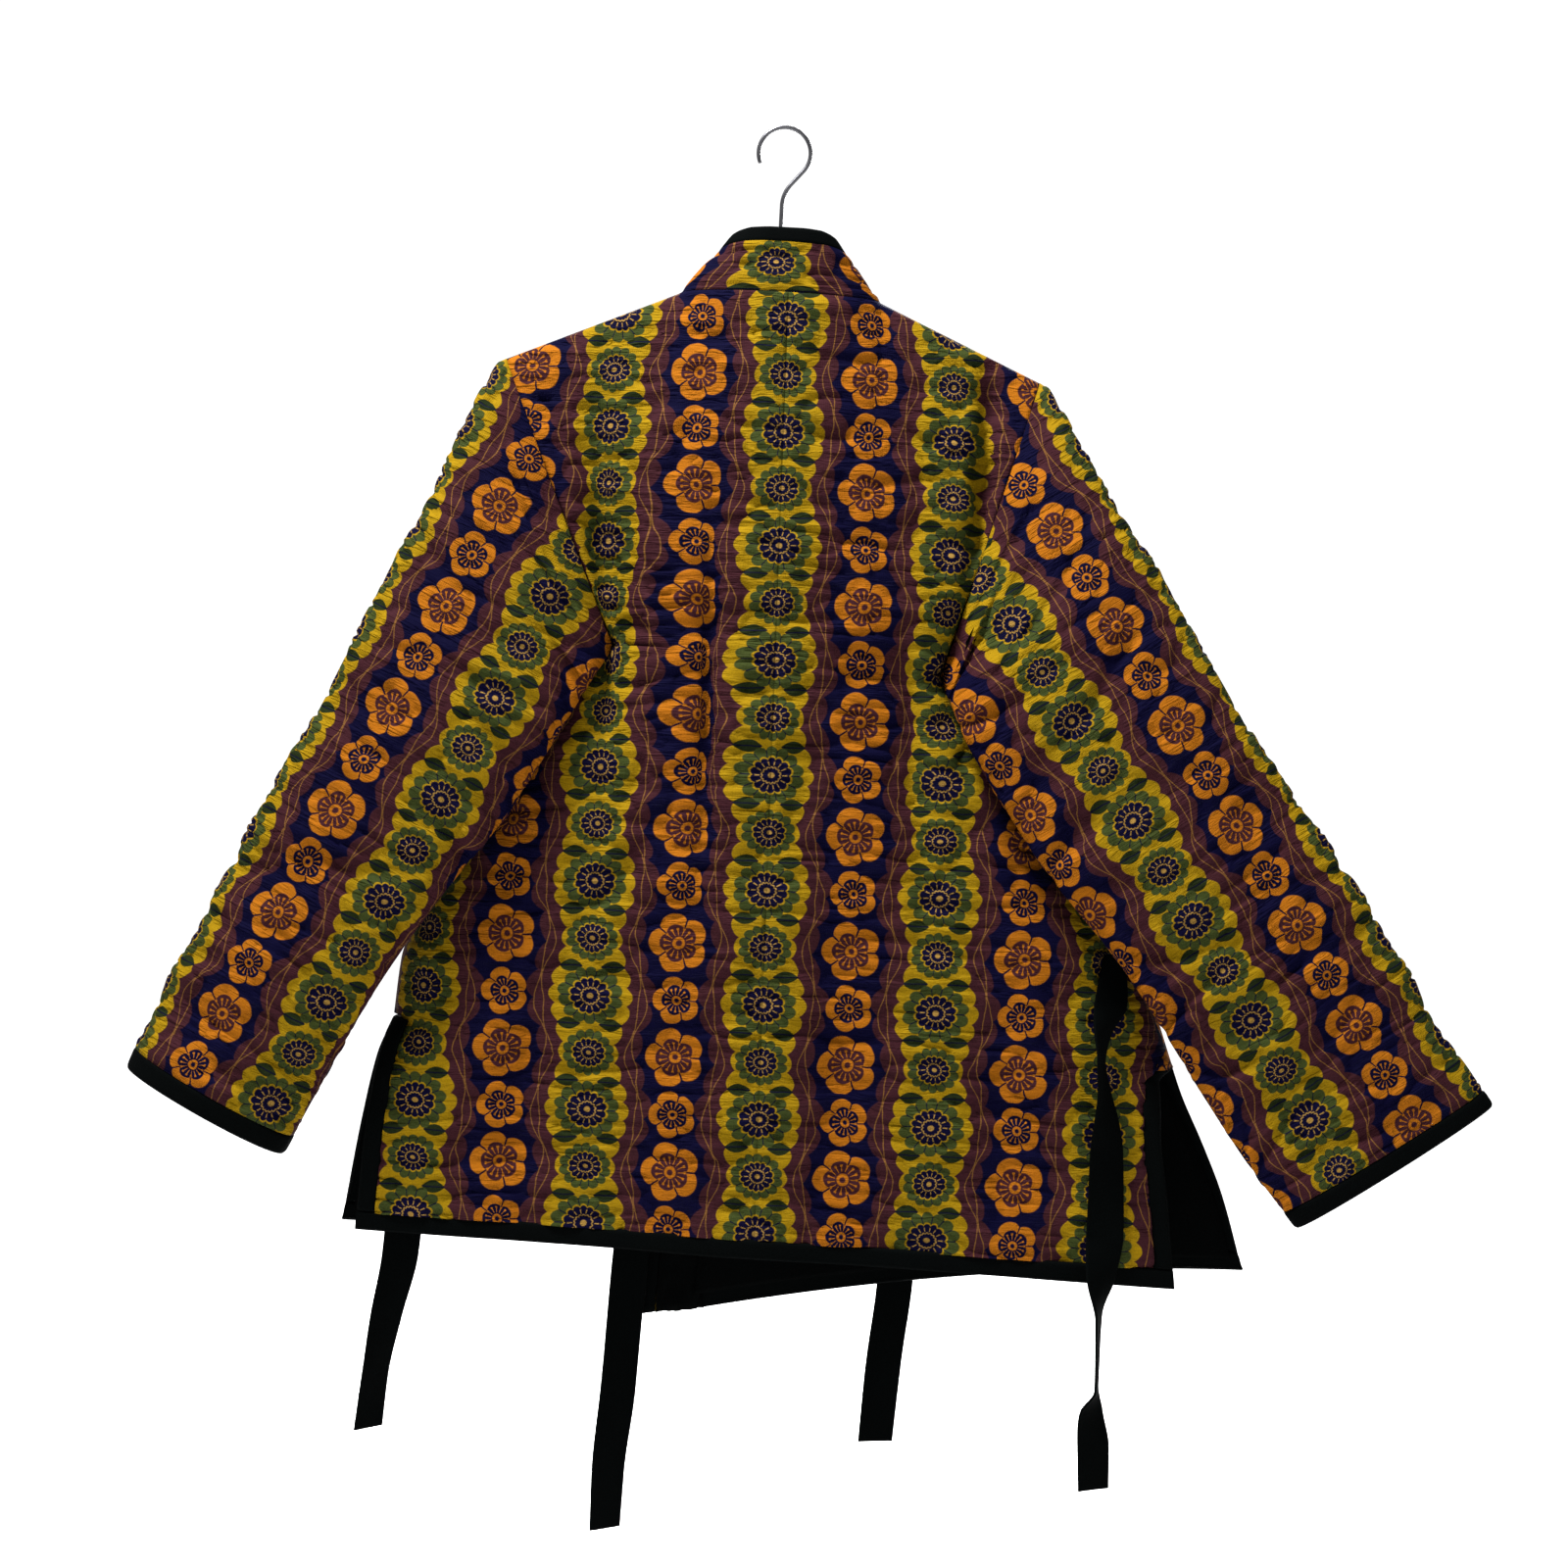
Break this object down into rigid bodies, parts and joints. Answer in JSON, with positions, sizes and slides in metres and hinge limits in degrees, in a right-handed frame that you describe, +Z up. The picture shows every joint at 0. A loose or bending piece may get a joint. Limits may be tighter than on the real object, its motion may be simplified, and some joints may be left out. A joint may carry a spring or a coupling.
{
  "type": "hanten",
  "caption": "Short padded wrap jacket with straight sleeves, collar band, side slits, dark bindings and hanging ties, held up by a plain wooden hanger.",
  "frame": {"origin": "inside top of the hanger's hook, where a rod or wall hook holds it", "axes": "+Z up, +X to the wearer's right hand, +Y out of the lapped fronts, so the back faces -Y"},
  "size_m": [1.023, 0.1294, 1.0832],
  "materials": {
    "print": "matt",
    "binding": "matt",
    "lining": "matt",
    "bar_wood": "satin",
    "hook_steel": "satin"
  },
  "bodies": {
    "root": {"back_left": "print", "back_right": "print", "front_left": "print", "front_right": "print", "sleeve_left": "print", "sleeve_right": "print", "collar": "print", "collar_trim": "binding", "back_hem_band": "binding", "back_left_slit_band": "binding", "back_right_slit_band": "binding", "front_left_hem_band": "binding", "front_left_slit_band": "binding", "front_right_hem_band": "binding", "front_right_slit_band": "binding", "cuff_band_left": "binding", "cuff_band_right": "binding", "tie_inner_left": "binding", "tie_right_front": "binding", "tie_left_front": "binding", "tie_outer_right": "binding", "lining_front_left": "lining", "lining_front_right": "lining", "hanger_bar": "bar_wood", "hanger_hook": "hook_steel"}
  },
  "joints": []
}
